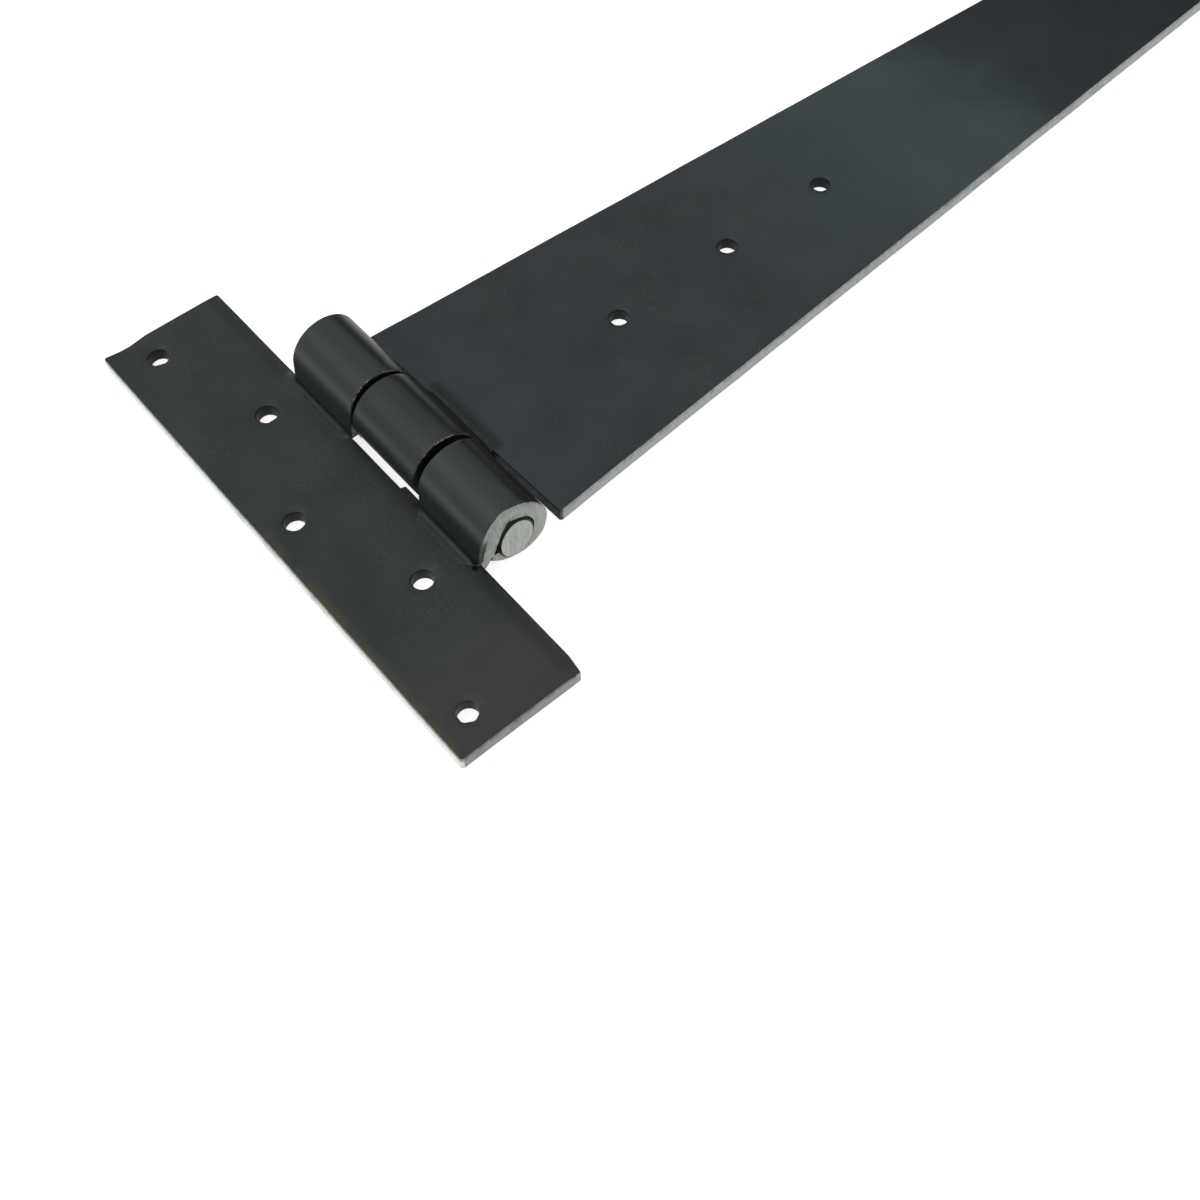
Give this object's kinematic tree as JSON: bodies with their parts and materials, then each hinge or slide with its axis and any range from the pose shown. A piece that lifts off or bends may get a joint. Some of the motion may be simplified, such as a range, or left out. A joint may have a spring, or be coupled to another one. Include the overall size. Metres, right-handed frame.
{
  "type": "tee hinge",
  "caption": "Heavy tee hinge: a short cross leaf and a long tapered strap of dark steel plate, both rolled round one thick pin and pierced for screws.",
  "frame": {"origin": "middle of the cross leaf's back face", "axes": "+X from the cross leaf along the strap to its tip, +Y along the pin, +Z out of the front face, with the strap laid flat in line with the leaf"},
  "size_m": [0.4578, 0.1523, 0.0193],
  "materials": {
    "leaf_plate": "blackened mild steel plate, satin, bare grey where it was sheared or rubbed",
    "strap_plate": "blackened mild steel plate, satin, a little bluer than the cross leaf",
    "pin_steel": "plain steel rod, dull, ends cropped and dressed"
  },
  "bodies": {
    "cross_leaf": {"cross_leaf": "leaf_plate", "hinge_pin": "pin_steel"},
    "strap": {"strap_leaf": "strap_plate"}
  },
  "joints": [
    {"name": "strap_turn", "type": "hinge", "parent": "cross_leaf", "child": "strap", "pos_m": [0.0264, 0, 0.00965], "axis": [0, -1, 0], "range_deg": [0, 190]}
  ]
}
